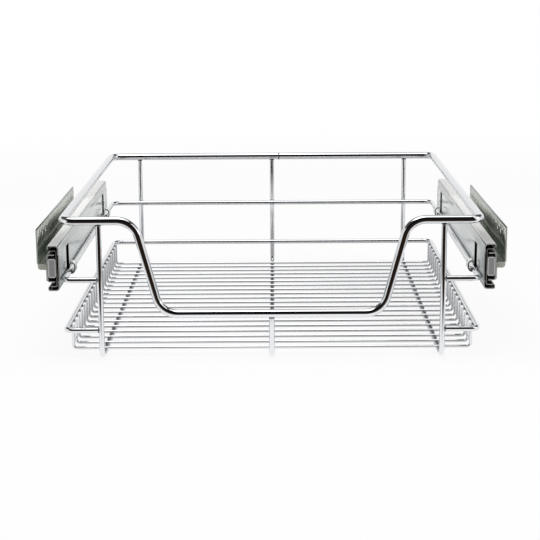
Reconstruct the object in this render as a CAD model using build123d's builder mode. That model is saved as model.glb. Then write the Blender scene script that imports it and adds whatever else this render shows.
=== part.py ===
from build123d import *

import math
import os

# A wire basket that pulls out of a kitchen cabinet on two three-section ball-bearing runners.
# Millimetres. The front faces -Y, +X is to the right, +Z is up. The origin lies under the
# middle of the basket, on the surface that its lowest wires stand on.

# ---- driving dimensions: basket wires, between wire centres ----
rim_width = 412.0
rim_depth = 438.0
rim_z = 141.5
mid_rail_z = 82.0
tray_rail_z = 30.5
tray_rail_width = 411.0
rim_dia = 8.5
frame_wire_dia = 5.5
cross_wire_dia = 3.0
rim_corner_bend = 11.0
rail_back_bend = 10.0
rail_front_bend = 7.0
weld_gap = 0.1
rim_sides = 10
frame_wire_sides = 8
cross_wire_sides = 8

# ---- driving dimensions: the dip in the rim that serves as a handle ----
handle_drop = 94.5
handle_top_width = 270.6
handle_bottom_width = 220.4
handle_bend = 22.0

# ---- driving dimensions: tray bottom ----
longitudinal_spacing = 170.0
longitudinal_bend = 8.0
cross_wire_pitch = 20.6
front_cross_wire_inset = 18.0
back_cross_wire_inset = 20.0
cross_wire_bend = 3.5
leg_end_above_rail = 1.2

# ---- driving dimensions: runners ----
runner_length = 400.0
runner_height = 46.0
runner_thickness = 12.7
runner_above_mid_rail = 12.5
runner_front_overhang = 3.0
rail_to_runner_gap = 0.25
sheet = 1.2
middle_sheet = 1.1
cage_sheet = 0.6
web_bend = 3.0
lip_bend = 1.3
member_bend = 1.8
lip_height = 3.2
ball_dia = 3.175
race_gap = 0.06
outer_lip_inset = 0.6
middle_web_depth = 2.5
middle_flange_tip = 10.0
outer_cage_web_depth = 1.55
outer_cage_tip = 9.0
inner_cage_web_depth = 3.8
inner_cage_tip = 10.5
fixed_flange_tip = 5.0
outer_ball_depth = 6.0
inner_ball_depth = 7.8
cage_length = 150.0
ball_pitch = 36.0
balls_per_row = 4
pocket_clearance = 0.4

# ---- driving dimensions: windows and hooks in the basket-side member ----
front_hook_inset = 55.0
back_hook_inset = 44.0
window_width = 15.0
window_top_above_mid_rail = 25.5
hook_width = 14.0
hook_root = 2.5
hook_reach = 8.4
hook_rise = 7.4
hook_return = 4.3
hook_root_bend = 1.2
hook_bend = 3.5

# ---- driving dimensions: bumper in the front of the fixed member ----
bumper_height = 19.0
bumper_length = 14.0
bumper_clearance = 0.35
bumper_corner = 2.0
bumper_border = 1.2
bumper_recess = 0.6

# ---- driving dimensions: cabinet brackets ----
bracket_reach = 10.3
bracket_sheet = 1.5
bracket_length = 256.0
bracket_front_inset = 4.0
bracket_top_above_runner = 38.5
bracket_flange_above_runner = 2.0
bracket_bend = 2.0
bracket_leg = 15.5
front_lip_height = 4.5
front_lip_corner = 3.0
upper_hole_drop = 5.5
lower_hole_drop = 10.0
small_hole_dia = 4.4
small_hole_sides = 8
screw_hole_dia = 5.0
screw_hole_inset = 32.0
small_hole_insets = (22.5, 41.0, 62.0)
low_hole_insets = (51.0,)
end_slot_inset = 10.0
slot_width = 3.4
slot_length = 7.5
middle_slot_inset = 49.0
rivet_dia = 4.0
rivet_head_dia = 7.0
rivet_sides = 8
rivet_head_height = 1.2
rivet_tail_height = 0.8
rivet_fit = 0.05
rivet_drop = 9.5
rivet_end_inset = 28.0

# ---- places worked out from the driving dimensions ----
rim_x = rim_width / 2
rim_y = rim_depth / 2
rim_r = rim_dia / 2
wire_r = frame_wire_dia / 2
cross_r = cross_wire_dia / 2
rail_x = rim_x
tray_rail_x = tray_rail_width / 2
rail_back_y = rim_y - frame_wire_dia - weld_gap
upright_top = rim_z - rim_r - weld_gap
handle_z = rim_z - handle_drop
floor_z = frame_wire_dia + weld_gap + cross_r
first_cross_y = -rim_y + front_cross_wire_inset
cross_wire_room = rail_back_y - back_cross_wire_inset - first_cross_y
cross_wire_count = int(cross_wire_room / cross_wire_pitch) + 1
web_x = rail_x + wire_r + rail_to_runner_gap
runner_z = mid_rail_z + runner_above_mid_rail
runner_front = -rim_y - runner_front_overhang
runner_back = runner_front + runner_length
outer_half = runner_height / 2 - sheet / 2
outer_race = runner_height / 2 - sheet
outer_ball_half = outer_race - race_gap - ball_dia / 2
middle_half = outer_ball_half - ball_dia / 2 - race_gap - middle_sheet / 2
inner_ball_half = middle_half - middle_sheet / 2 - race_gap - ball_dia / 2
fixed_half = inner_ball_half - ball_dia / 2 - race_gap - sheet / 2
plate_x = web_x + runner_thickness + bracket_reach
bracket_front = runner_front + bracket_front_inset
bracket_back = bracket_front + bracket_length
plate_top = runner_z + bracket_top_above_runner
bracket_flange_z = runner_z + bracket_flange_above_runner
rivet_z = bracket_flange_z - rivet_drop

os.makedirs("parts", exist_ok=True)


def save(piece, name):
    """Label a finished piece and write it as its own file."""
    piece.part.label = name
    export_step(piece.part, f"parts/{name}.step")


def side_name(side):
    """Name the side of the basket: -1 is left, +1 is right."""
    return "left" if side < 0 else "right"


def outermost(side):
    """Index of the outermost of a row of points that is sorted along X."""
    return 0 if side < 0 else -1


# ---- bent wires: the many-sided sections keep the number of facets down ----
def bent_wire(points, bends):
    """A frame wire along straight runs joined by bends."""
    with BuildPart() as wire:
        with BuildLine() as path:
            FilletPolyline(*points, radius=bends)
        with BuildSketch(Plane(origin=path.line @ 0, z_dir=path.line % 0)):
            RegularPolygon(radius=wire_r, side_count=frame_wire_sides)
        sweep(path=path.line)
    return wire


def bend_chords(before, corner, after, bend):
    """Three points of the bend at a corner: where it starts, its middle and where it ends."""
    arrive = (Vector(*corner) - Vector(*before)).normalized()
    leave = (Vector(*after) - Vector(*corner)).normalized()
    half_turn = math.radians(arrive.get_angle(leave)) / 2
    tangent = bend * math.tan(half_turn)
    inward = (leave - arrive).normalized()
    middle = Vector(*corner) + inward * (bend / math.cos(half_turn) - bend)
    return [Vector(*corner) - arrive * tangent, middle, Vector(*corner) + leave * tangent]


def rim_with_handle():
    """The closed top ring, with the dip at the front that serves as a handle."""
    half_ring = [
        (0, rim_y, rim_z),
        (rim_x, rim_y, rim_z),
        (rim_x, -rim_y, rim_z),
        (handle_top_width / 2, -rim_y, rim_z),
        (handle_bottom_width / 2, -rim_y, handle_z),
        (0, -rim_y, handle_z),
    ]
    bends = [rim_corner_bend, rim_corner_bend, handle_bend, handle_bend]
    with BuildPart() as rim:
        with BuildLine() as path:
            FilletPolyline(*half_ring, radius=bends)
        with BuildSketch(Plane(origin=path.line @ 0, z_dir=path.line % 0)):
            RegularPolygon(radius=rim_r, side_count=rim_sides)
        sweep(path=path.line)
        mirror(about=Plane.YZ)
    return rim


def side_rail(half_width, height):
    """A rail round the back and both sides, butted on the outer front uprights."""
    end_x = longitudinal_spacing + wire_r + weld_gap
    points = [
        (-end_x, -rim_y, height),
        (-half_width, -rim_y, height),
        (-half_width, rail_back_y, height),
        (half_width, rail_back_y, height),
        (half_width, -rim_y, height),
        (end_x, -rim_y, height),
    ]
    bends = [rail_front_bend, rail_back_bend, rail_back_bend, rail_front_bend]
    return bent_wire(points, bends)


def longitudinal_wire(x, front_top):
    """A wire from the front of the rim, under the tray and up to the back of the rim."""
    points = [
        (x, -rim_y, front_top),
        (x, -rim_y, wire_r),
        (x, rim_y, wire_r),
        (x, rim_y, upright_top),
    ]
    return bent_wire(points, longitudinal_bend)


def cross_wire(y):
    """A tray wire whose two legs stand against the inside of the tray rail."""
    leg_x = tray_rail_x - wire_r - cross_r - weld_gap
    end_z = tray_rail_z + leg_end_above_rail
    left_end, left_foot = (-leg_x, y, end_z), (-leg_x, y, floor_z)
    right_foot, right_end = (leg_x, y, floor_z), (leg_x, y, end_z)
    left_bend = bend_chords(left_end, left_foot, right_foot, cross_wire_bend)
    right_bend = bend_chords(left_foot, right_foot, right_end, cross_wire_bend)
    with BuildPart() as wire:
        with BuildLine() as path:
            Polyline(left_end, *left_bend, *right_bend, right_end)
        with BuildSketch(Plane(origin=path.line @ 0, z_dir=path.line % 0)):
            RegularPolygon(radius=cross_r, side_count=cross_wire_sides)
        sweep(path=path.line, transition=Transition.RIGHT)
    return wire


save(rim_with_handle(), "rim_handle")
save(side_rail(rail_x, mid_rail_z), "mid_rail")
save(side_rail(tray_rail_x, tray_rail_z), "tray_rail")
save(longitudinal_wire(-longitudinal_spacing, upright_top), "longitudinal_left")
save(longitudinal_wire(0, handle_z - rim_r - weld_gap), "longitudinal_centre")
save(longitudinal_wire(longitudinal_spacing, upright_top), "longitudinal_right")
for number in range(cross_wire_count):
    save(cross_wire(first_cross_y + number * cross_wire_pitch), f"cross_wire_{number + 1:02d}")


# ---- runner members: a profile across the runner, extruded along it ----
def across(side, depth, height):
    """A point of a runner's section: depth from its basket face, height from its middle."""
    return (side * (web_x + depth), runner_z + height)


def channel_points(side, web_depth, tip_depth, half, lip=0.0):
    """The middle line of a channel: flange, web, flange, with a lip on each flange if asked."""
    points = [
        across(side, tip_depth, half),
        across(side, web_depth, half),
        across(side, web_depth, -half),
        across(side, tip_depth, -half),
    ]
    if lip:
        points.insert(0, across(side, tip_depth, half - lip))
        points.append(across(side, tip_depth, lip - half))
    return points


def basket_member(side):
    """The large channel on the basket's side, with two windows and the hooks cut from them."""
    tip = runner_thickness - outer_lip_inset - sheet / 2
    profile = channel_points(side, sheet / 2, tip, outer_half, lip_height)
    seat_z = mid_rail_z - wire_r - weld_gap - sheet / 2
    window_bottom = seat_z - hook_root / 2
    window_top = mid_rail_z + window_top_above_mid_rail
    bulge_x = side * (web_x - hook_reach + sheet / 2)
    tip_z = mid_rail_z + hook_rise
    hook = [
        (side * (web_x + sheet / 2), seat_z - hook_root),
        (side * (web_x + sheet / 2), seat_z),
        (bulge_x, seat_z),
        (bulge_x, tip_z),
        (bulge_x + side * hook_return, tip_z),
    ]
    hook_places = [runner_front + front_hook_inset, runner_back - back_hook_inset]
    with BuildPart() as member:
        with BuildSketch(Plane.XZ.offset(-runner_back)):
            with BuildLine():
                FilletPolyline(*profile, radius=[lip_bend, web_bend, web_bend, lip_bend])
            trace(line_width=sheet)
        extrude(amount=runner_length)
        with BuildSketch(Plane.YZ.offset(side * web_x)):
            with Locations(*[(y, (window_top + window_bottom) / 2) for y in hook_places]):
                Rectangle(window_width, window_top - window_bottom)
        extrude(amount=2 * sheet, both=True, mode=Mode.SUBTRACT)
        for y in hook_places:
            with BuildSketch(Plane.XZ.offset(-y - hook_width / 2)):
                with BuildLine():
                    FilletPolyline(*hook, radius=[hook_root_bend, hook_bend, hook_bend])
                trace(line_width=sheet)
            extrude(amount=hook_width)
    return member


def middle_member(side):
    """The channel between the two others, which runs out half as far as the basket."""
    web = middle_web_depth + middle_sheet / 2
    with BuildPart() as member:
        with BuildSketch(Plane.XZ.offset(-runner_back)):
            with BuildLine():
                FilletPolyline(
                    *channel_points(side, web, middle_flange_tip, middle_half),
                    radius=member_bend,
                )
            trace(line_width=middle_sheet)
        extrude(amount=runner_length)
    return member


def fixed_member(side):
    """The small channel that stays in the cabinet, drilled for the rivets of its bracket."""
    web = runner_thickness - sheet / 2
    with BuildPart() as member:
        with BuildSketch(Plane.XZ.offset(-runner_back)):
            with BuildLine():
                FilletPolyline(
                    *channel_points(side, web, fixed_flange_tip, fixed_half),
                    radius=member_bend,
                )
            trace(line_width=sheet)
        extrude(amount=runner_length)
        with BuildSketch(Plane.YZ.offset(side * (web_x + runner_thickness))):
            with Locations(*rivet_places()):
                RegularPolygon(radius=rivet_dia / 2 + rivet_fit, side_count=rivet_sides)
        extrude(amount=2 * sheet, both=True, mode=Mode.SUBTRACT)
    return member


# ---- ball cages and balls ----
def ball_rows():
    """Distances along the runner of the balls in one row, in the middle of the runner."""
    middle = runner_front + runner_length / 2
    return [middle + (n - (balls_per_row - 1) / 2) * ball_pitch for n in range(balls_per_row)]


def ball_cage(side, web_depth, tip_depth, half, ball_depth):
    """A thin channel with a row of square pockets in each flange."""
    middle = runner_front + runner_length / 2
    web = web_depth + cage_sheet / 2
    pocket = ball_dia + pocket_clearance
    with BuildPart() as cage:
        with BuildSketch(Plane.XZ.offset(-middle - cage_length / 2)):
            with BuildLine():
                Polyline(*channel_points(side, web, tip_depth, half))
            trace(line_width=cage_sheet)
        extrude(amount=cage_length)
        with BuildSketch(Plane.XY.offset(runner_z)):
            with Locations(*[(side * (web_x + ball_depth), y) for y in ball_rows()]):
                Rectangle(pocket, pocket)
        extrude(amount=half + cage_sheet, both=True, mode=Mode.SUBTRACT)
    return cage


def balls(side, ball_depth, half):
    """The balls of one cage, each a cube whose edges are cut back until it is nearly round."""
    edge_cut = ball_dia / (2 + math.sqrt(2))
    centre_x = side * (web_x + ball_depth)
    with BuildPart() as row:
        for y in ball_rows():
            with Locations((centre_x, y, runner_z + half), (centre_x, y, runner_z - half)):
                Box(ball_dia, ball_dia, ball_dia)
        chamfer(row.edges(), length=edge_cut)
    return row


# ---- bumper, bracket and rivets ----
def bumper(side):
    """The plastic block in the mouth of the fixed member, with a shallow recess in its face."""
    inner = middle_web_depth + middle_sheet + bumper_clearance
    outer = runner_thickness - sheet
    centre = across(side, (inner + outer) / 2, 0)
    with BuildPart() as block:
        with BuildSketch(Plane.XZ.offset(-runner_front)):
            with Locations(centre):
                RectangleRounded(outer - inner, bumper_height, bumper_corner)
        extrude(amount=-bumper_length)
        with BuildSketch(Plane.XZ.offset(-runner_front)):
            with Locations(centre):
                Rectangle(outer - inner - 2 * bumper_border, bumper_height - 2 * bumper_border)
        extrude(amount=-bumper_recess, mode=Mode.SUBTRACT)
    return block


def rivet_places():
    """Rivet centres as (y, z): one near each end of the bracket and one in its middle."""
    along = [*from_both_ends([rivet_end_inset]), (bracket_front + bracket_back) / 2]
    return [(y, rivet_z) for y in along]


def from_both_ends(insets):
    """Places along the bracket at the same distances from its front end and its back end."""
    front_places = [bracket_front + inset for inset in insets]
    return front_places + [bracket_back - inset for inset in insets]


def cabinet_bracket(side):
    """A Z-shaped bracket: an upright plate for the cabinet, a flange and a riveted leg."""
    half_sheet = bracket_sheet / 2
    plate_mid = side * (plate_x - half_sheet)
    leg_mid = side * (web_x + runner_thickness + half_sheet)
    profile = [
        (plate_mid, plate_top),
        (plate_mid, bracket_flange_z + half_sheet),
        (leg_mid, bracket_flange_z + half_sheet),
        (leg_mid, bracket_flange_z - bracket_leg),
    ]
    upper_z = plate_top - upper_hole_drop
    lower_z = plate_top - lower_hole_drop
    small_holes = [(y, upper_z) for y in from_both_ends(small_hole_insets)]
    small_holes += [(y, lower_z) for y in from_both_ends(low_hole_insets)]
    screw_holes = [(y, lower_z) for y in from_both_ends([screw_hole_inset])]
    slots = [(y, upper_z) for y in from_both_ends([end_slot_inset])]
    slots.append((bracket_back - middle_slot_inset, lower_z - slot_length))
    lip_inner = web_x + runner_thickness + bracket_sheet
    with BuildPart() as bracket:
        with BuildSketch(Plane.XZ.offset(-bracket_back)):
            with BuildLine():
                FilletPolyline(*profile, radius=bracket_bend)
            trace(line_width=bracket_sheet)
        extrude(amount=bracket_length)
        with BuildSketch(Plane.XZ.offset(-bracket_front)) as lip:
            with Locations((side * (lip_inner + plate_x) / 2, bracket_flange_z)):
                Rectangle(plate_x - lip_inner, front_lip_height, align=(Align.CENTER, Align.MAX))
            lower_corners = lip.vertices().group_by(Axis.Y)[0].sort_by(Axis.X)
            fillet(lower_corners[outermost(side)], front_lip_corner)
        extrude(amount=-bracket_sheet)
        with BuildSketch(Plane.YZ.offset(side * plate_x)):
            with Locations(*small_holes):
                RegularPolygon(radius=small_hole_dia / 2, side_count=small_hole_sides)
            with Locations(*screw_holes):
                Circle(screw_hole_dia / 2)
            with Locations(*slots):
                Rectangle(slot_width, slot_length)
        extrude(amount=2 * bracket_sheet, both=True, mode=Mode.SUBTRACT)
        with BuildSketch(Plane.YZ.offset(side * (web_x + runner_thickness))):
            with Locations(*rivet_places()):
                RegularPolygon(radius=rivet_dia / 2 + rivet_fit, side_count=rivet_sides)
        extrude(amount=2 * bracket_sheet, both=True, mode=Mode.SUBTRACT)
    return bracket


def rivets(side):
    """Rivets with a round head on the bracket's leg and a flat tail inside the fixed member."""
    head_x = web_x + runner_thickness + bracket_sheet
    tail_x = web_x + runner_thickness - sheet
    with BuildPart() as row:
        with BuildSketch(Plane.YZ.offset(side * (tail_x - rivet_tail_height))):
            with Locations(*rivet_places()):
                RegularPolygon(radius=rivet_head_dia / 2, side_count=rivet_sides)
        extrude(amount=side * rivet_tail_height)
        with BuildSketch(Plane.YZ.offset(side * tail_x)):
            with Locations(*rivet_places()):
                RegularPolygon(radius=rivet_dia / 2, side_count=rivet_sides)
        extrude(amount=side * (head_x - tail_x))
        with BuildSketch(Plane.YZ.offset(side * head_x)):
            with Locations(*rivet_places()):
                RegularPolygon(radius=rivet_head_dia / 2, side_count=rivet_sides)
        extrude(amount=side * rivet_head_height)
    return row


for side in (-1, 1):
    hand = side_name(side)
    save(basket_member(side), f"runner_basket_member_{hand}")
    save(middle_member(side), f"runner_middle_member_{hand}")
    save(fixed_member(side), f"runner_fixed_member_{hand}")
    outer_cage = (outer_cage_web_depth, outer_cage_tip, outer_ball_half, outer_ball_depth)
    inner_cage = (inner_cage_web_depth, inner_cage_tip, inner_ball_half, inner_ball_depth)
    save(ball_cage(side, *outer_cage), f"outer_ball_cage_{hand}")
    save(ball_cage(side, *inner_cage), f"inner_ball_cage_{hand}")
    save(balls(side, outer_ball_depth, outer_ball_half), f"outer_balls_{hand}")
    save(balls(side, inner_ball_depth, inner_ball_half), f"inner_balls_{hand}")
    save(bumper(side), f"bumper_{hand}")
    save(cabinet_bracket(side), f"cabinet_bracket_{hand}")
    save(rivets(side), f"rivets_{hand}")
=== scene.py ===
# %% [markdown]
# # A pull-out cabinet basket in chrome wire
#
# The basket hangs between two ball-bearing runners, and each runner is riveted to a bracket
# that is screwed to the side of a kitchen cabinet. The construction is already settled: it is
# loaded here as a fixed frame of named nodes. Every size below is read from that frame, or is
# a real size in metres where the frame can't say it, such as the width of a small bevel.
#
# The plan is: camera and studio first, then the wires, the welds, the runners and the
# brackets, and last the finishes.

import math

import bmesh
import bpy
from mathutils import Matrix, Vector


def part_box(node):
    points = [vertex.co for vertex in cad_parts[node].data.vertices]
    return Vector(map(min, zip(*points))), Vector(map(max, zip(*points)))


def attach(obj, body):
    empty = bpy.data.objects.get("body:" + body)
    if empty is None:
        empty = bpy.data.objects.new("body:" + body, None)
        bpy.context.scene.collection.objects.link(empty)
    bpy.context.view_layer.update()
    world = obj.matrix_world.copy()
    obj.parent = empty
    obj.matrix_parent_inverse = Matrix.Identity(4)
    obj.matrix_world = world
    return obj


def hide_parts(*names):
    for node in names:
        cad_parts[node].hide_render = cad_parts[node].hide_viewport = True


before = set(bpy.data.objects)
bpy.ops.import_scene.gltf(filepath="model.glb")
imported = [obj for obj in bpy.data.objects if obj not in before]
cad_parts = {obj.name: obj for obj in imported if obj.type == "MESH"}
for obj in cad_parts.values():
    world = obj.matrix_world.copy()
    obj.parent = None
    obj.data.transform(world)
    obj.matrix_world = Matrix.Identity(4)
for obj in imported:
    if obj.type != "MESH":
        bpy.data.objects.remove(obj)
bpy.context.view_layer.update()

# %% [markdown]
# ## Camera
#
# The photograph was taken from just above the rim with a long lens, so the sides run together
# only a little. Place, aim and lens were found by matching the corners of the wire rails. The
# camera is aimed by three small angles, so a matrix made of its right, up and backward
# directions is the plainest way to say where it looks.

# %% Camera
camera_place = Vector((0.0039, -1.5585, 0.3979))
camera_heading = 0.004
camera_dip = 0.225
camera_roll = -0.006
focal_pixels = 1390.0
photo_pixels = 540.0
sensor_width = 36.0

level_right = Vector((math.cos(camera_heading), math.sin(camera_heading), 0))
level_ahead = Vector((-math.sin(camera_heading), math.cos(camera_heading), 0))
ahead = level_ahead * math.cos(camera_dip) - Vector((0, 0, 1)) * math.sin(camera_dip)
above = level_ahead * math.sin(camera_dip) + Vector((0, 0, 1)) * math.cos(camera_dip)
camera_right = level_right * math.cos(camera_roll) + above * math.sin(camera_roll)
camera_up = above * math.cos(camera_roll) - level_right * math.sin(camera_roll)

bpy.ops.object.camera_add()
camera = bpy.context.object
camera.name = "photo_camera"
turn = Matrix((camera_right, camera_up, -ahead)).transposed().to_4x4()
camera.matrix_world = Matrix.Translation(camera_place) @ turn
camera.data.lens = focal_pixels / photo_pixels * sensor_width
camera.data.sensor_width = sensor_width
camera.data.dof.use_dof = False
bpy.context.scene.camera = camera
bpy.context.scene.view_settings.view_transform = "Standard"
print("camera lens", round(camera.data.lens, 2), "mm")

# %% [markdown]
# ## Shader values
#
# Materials here are sums and products of masks. Writing them as node graphs by hand is slow
# to read, so one small class wraps a socket: `+`, `-`, `*`, `/` and `**` on it add the Math
# nodes. Its `node` method adds any other node from its type, its settings and its inputs.

# %% The class that builds shader graphs
class Value:
    """One output in a material. Arithmetic on it adds Math nodes."""

    def __init__(self, tree, socket=None):
        self.tree = tree
        self.socket = socket

    def node(self, kind, settings=None, inputs=None, output=0):
        """Add a node, make its settings, fill its sockets and return one of its outputs."""
        made = self.tree.nodes.new(kind)
        for name, setting in (settings or {}).items():
            setattr(made, name, setting)
        for name, value in (inputs or {}).items():
            if isinstance(value, Value):
                self.tree.links.new(value.socket, made.inputs[name])
            else:
                made.inputs[name].default_value = value
        return Value(self.tree, made.outputs[output] if len(made.outputs) else None)

    def math(self, operation, *values):
        """A Math node on this tree."""
        return self.node("ShaderNodeMath", {"operation": operation}, dict(enumerate(values)))

    def __add__(self, other):
        return self.math("ADD", self, other)

    def __radd__(self, other):
        return self.math("ADD", other, self)

    def __sub__(self, other):
        return self.math("SUBTRACT", self, other)

    def __rsub__(self, other):
        return self.math("SUBTRACT", other, self)

    def __mul__(self, other):
        return self.math("MULTIPLY", self, other)

    def __rmul__(self, other):
        return self.math("MULTIPLY", other, self)

    def __truediv__(self, other):
        return self.math("DIVIDE", self, other)

    def __pow__(self, other):
        return self.math("POWER", self, other)

    def size(self):
        """This value without its sign."""
        return self.math("ABSOLUTE", self)

    def step(self, start, end):
        """0 up to start, 1 from end, and smooth between. End may lie below start."""
        low, high = min(start, end), max(start, end)
        rise = self.node(
            "ShaderNodeMapRange",
            {"interpolation_type": "SMOOTHSTEP"},
            {"Value": self, "From Min": low, "From Max": high},
        )
        return rise if start < end else 1 - rise

    def parts(self):
        """The three numbers of a vector."""
        split = self.node("ShaderNodeSeparateXYZ", {}, {0: self})
        outputs = split.socket.node.outputs
        return [Value(self.tree, outputs[axis]) for axis in range(3)]

    def mix(self, first, second):
        """A colour between first, where this value is 0, and second, where it is 1."""
        colours = [c if isinstance(c, Value) else (*c, 1.0) for c in (first, second)]
        return self.node(
            "ShaderNodeMix", {"data_type": "RGBA"}, {0: self, 6: colours[0], 7: colours[1]}, 2
        )

    def mix_shader(self, first, second):
        """A shader between first, where this value is 0, and second, where it is 1."""
        return self.node("ShaderNodeMixShader", {}, {0: self, 1: first, 2: second})


def new_tree(owner):
    """Empty the node tree of a material or world and return a Value that adds to it."""
    owner.use_nodes = True
    owner.node_tree.nodes.clear()
    return Value(owner.node_tree)


# %% [markdown]
# ## Studio
#
# Chrome shows the room and hardly anything of its own, so the room is what makes it look like
# chrome. The photograph's wires are white above and below a crisp dark line: there was a
# bright ceiling, a low bright wall with a dark band over it, a white table, and a dark room
# behind the camera. Big glowing planes could stand for these, but the world can hold them all
# as bands of its height and heading, and only glossy rays see them. The camera sees plain
# white, and matt surfaces get an even light.

# %% World
table_height = 0.0
camera_white = 1.0
even_light = 0.62
ceiling_light = 1.55
wall_light = 1.05
dark_gap = 0.10
dark_room = 0.010
ceiling_edge = (0.83, 0.88)
gap_edge = (0.40, 0.46)
room_sides = (0.50, 0.64)
room_top = (0.95, 0.91)
never_zero = 0.0001

world = bpy.data.worlds.new("studio")
bpy.context.scene.world = world
sky = new_tree(world)
direction = sky.node("ShaderNodeTexCoord", output="Generated")
east, north, up = direction.parts()
flat = (east * east + north * north + never_zero) ** 0.5
towards_front = (0 - north) / flat
ceiling = up.step(*ceiling_edge)
gap = up.step(*gap_edge)
front = towards_front.step(*room_sides) * up.step(*room_top)
walls = wall_light + (dark_gap - wall_light) * gap
seen = walls + (ceiling_light - dark_gap) * ceiling
seen = seen + (dark_room - seen) * front
is_camera = sky.node("ShaderNodeLightPath", output="Is Camera Ray")
is_diffuse = sky.node("ShaderNodeLightPath", output="Is Diffuse Ray")
strength = seen * (1 - is_diffuse) + is_diffuse * even_light
strength = strength * (1 - is_camera) + is_camera * camera_white
light = sky.node("ShaderNodeBackground", {}, {"Color": (1, 1, 1, 1), "Strength": strength})
sky.node("ShaderNodeOutputWorld", {}, {"Surface": light})
print("world made, dark room behind the camera")

# %% [markdown]
# ### Table
#
# The table is white to the camera. To glossy rays it is white around the basket, greyer right
# under it, where the wires shade it, and a warm dark in front, because the real table ended
# there: that is the brown line down the front uprights. A lit floor would give all this only
# with the right lamps, so the tones are painted where they lie, in metres from the middle.

# %% Table
table_size = 60.0
table_glow = 0.86
table_colour = (0.9, 0.9, 0.9, 1)
near_table = 1.32
far_table = 0.85
under_basket = 0.68
dark_table = (0.02, 0.012, 0.008)
glow_fade = (0.7, 1.8)
far_fade = (-0.1, 0.3)
basket_front = (0.17, 0.225)
basket_back = (0.30, 0.20)
basket_sides = (0.3, 0.22)
dark_start = (0.31, 0.5)
dark_sides = (0.2, 0.05)
dark_spread = 0.9
outer_reach = 0.075
outer_zone = (0.09, 0.13)

bpy.ops.mesh.primitive_plane_add(size=table_size, location=(0, 0, table_height))
table = bpy.context.object
table.name = "table"

table_finish = bpy.data.materials.new("table_white")
sheet = new_tree(table_finish)
across, along, _ = sheet.node("ShaderNodeTexCoord", output="Object").parts()
distance = (across * across + along * along) ** 0.5
nearer = 0 - along
beside = across.size() - dark_spread * nearer
closer = nearer + outer_reach * across.size().step(*outer_zone)
in_front = closer.step(*dark_start) * beside.step(*dark_sides)
under = (1 - nearer.step(*basket_front)) * along.step(*basket_back)
under = under * across.size().step(*basket_sides)
bright = near_table + (far_table - near_table) * along.step(*far_fade)
bright = bright + (under_basket - bright) * under
is_camera = sheet.node("ShaderNodeLightPath", output="Is Camera Ray")
is_glossy = sheet.node("ShaderNodeLightPath", output="Is Glossy Ray")
white_glow = sheet.node("ShaderNodeEmission", {}, {"Color": (1, 1, 1, 1), "Strength": 1.0})
matt = sheet.node("ShaderNodeBsdfDiffuse", {}, {"Color": table_colour})
glow = table_glow + (1 - table_glow) * distance.step(*glow_fade)
as_seen = (is_camera * glow).mix_shader(matt, white_glow)
reflected_tint = in_front.mix((1, 1, 1), dark_table)
reflected = sheet.node(
    "ShaderNodeEmission", {}, {"Color": reflected_tint, "Strength": bright}
)
table_surface = is_glossy.mix_shader(as_seen, reflected)
sheet.node("ShaderNodeOutputMaterial", {}, {"Surface": table_surface})
table.data.materials.append(table_finish)
print("table:", table_size, "m, at", table_height)

# %% [markdown]
# ### Lamps
#
# The world alone would light matt pieces evenly from all sides, and they would look flat. Two
# large soft lamps, one above and one to the right, give the light a direction and lay a faint
# shadow on the table. They are weak, so that a colour renders about as it is written.

# %% Soft lamps
lamp_size = 1.4
lamp_target = Vector((0, 0, 0.08))
for lamp_name, lamp_place, lamp_watts in (
    ("top_softbox", (-0.3, -0.2, 1.9), 14.0),
    ("right_softbox", (1.7, -0.9, 1.2), 8.0),
):
    bpy.ops.object.light_add(type="AREA", location=lamp_place)
    lamp = bpy.context.object
    lamp.name = lamp_name
    lamp.data.shape = "SQUARE"
    lamp.data.size = lamp_size
    lamp.data.energy = lamp_watts
    aim = lamp_target - Vector(lamp_place)
    lamp.rotation_euler = aim.to_track_quat("-Z", "Y").to_euler()

# %% [markdown]
# ## Working by hand, from code
#
# A few small helpers stand for what the hand does between two tools: let go of everything, go
# into edit mode on one piece, pick what lies at a place, copy, join, apply a modifier, and
# freeze the piece's transform so that its object sits at the origin. Calling the operators each
# time would do the same, but an operator acts on all that is selected, and one forgotten
# selection spoils the next piece.

# %% Hand helpers
merge_distance = 0.00001
touch = 0.0001


def let_go():
    """Leave edit mode and select nothing."""
    if bpy.context.object and bpy.context.object.mode != "OBJECT":
        bpy.ops.object.mode_set(mode="OBJECT")
    bpy.ops.object.select_all(action="DESELECT")


def hold(piece):
    """Select one piece alone and make it the active one."""
    let_go()
    piece.select_set(True)
    bpy.context.view_layer.objects.active = piece


def freeze(piece, name):
    """Name the piece and move its transform into its mesh."""
    hold(piece)
    bpy.ops.object.transform_apply(location=True, rotation=True, scale=True)
    piece.name = name
    piece.data.name = name
    return piece


def edit(piece, select="SELECT"):
    """Go into edit mode on one piece with all or nothing selected."""
    hold(piece)
    bpy.ops.object.mode_set(mode="EDIT")
    bpy.ops.mesh.select_all(action=select)


def pick(kind, wanted):
    """In edit mode, select the vertices, edges or faces for which wanted(middle, item) holds."""
    bpy.ops.mesh.select_all(action="DESELECT")
    bpy.ops.mesh.select_mode(type=kind)
    mesh = bmesh.from_edit_mesh(bpy.context.object.data)
    for item in {"VERT": mesh.verts, "EDGE": mesh.edges, "FACE": mesh.faces}[kind]:
        corners = [item] if kind == "VERT" else item.verts
        middle = sum((corner.co for corner in corners), Vector()) / len(corners)
        item.select_set(bool(wanted(middle, item)))
    mesh.select_flush_mode()
    bmesh.update_edit_mesh(bpy.context.object.data)


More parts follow.
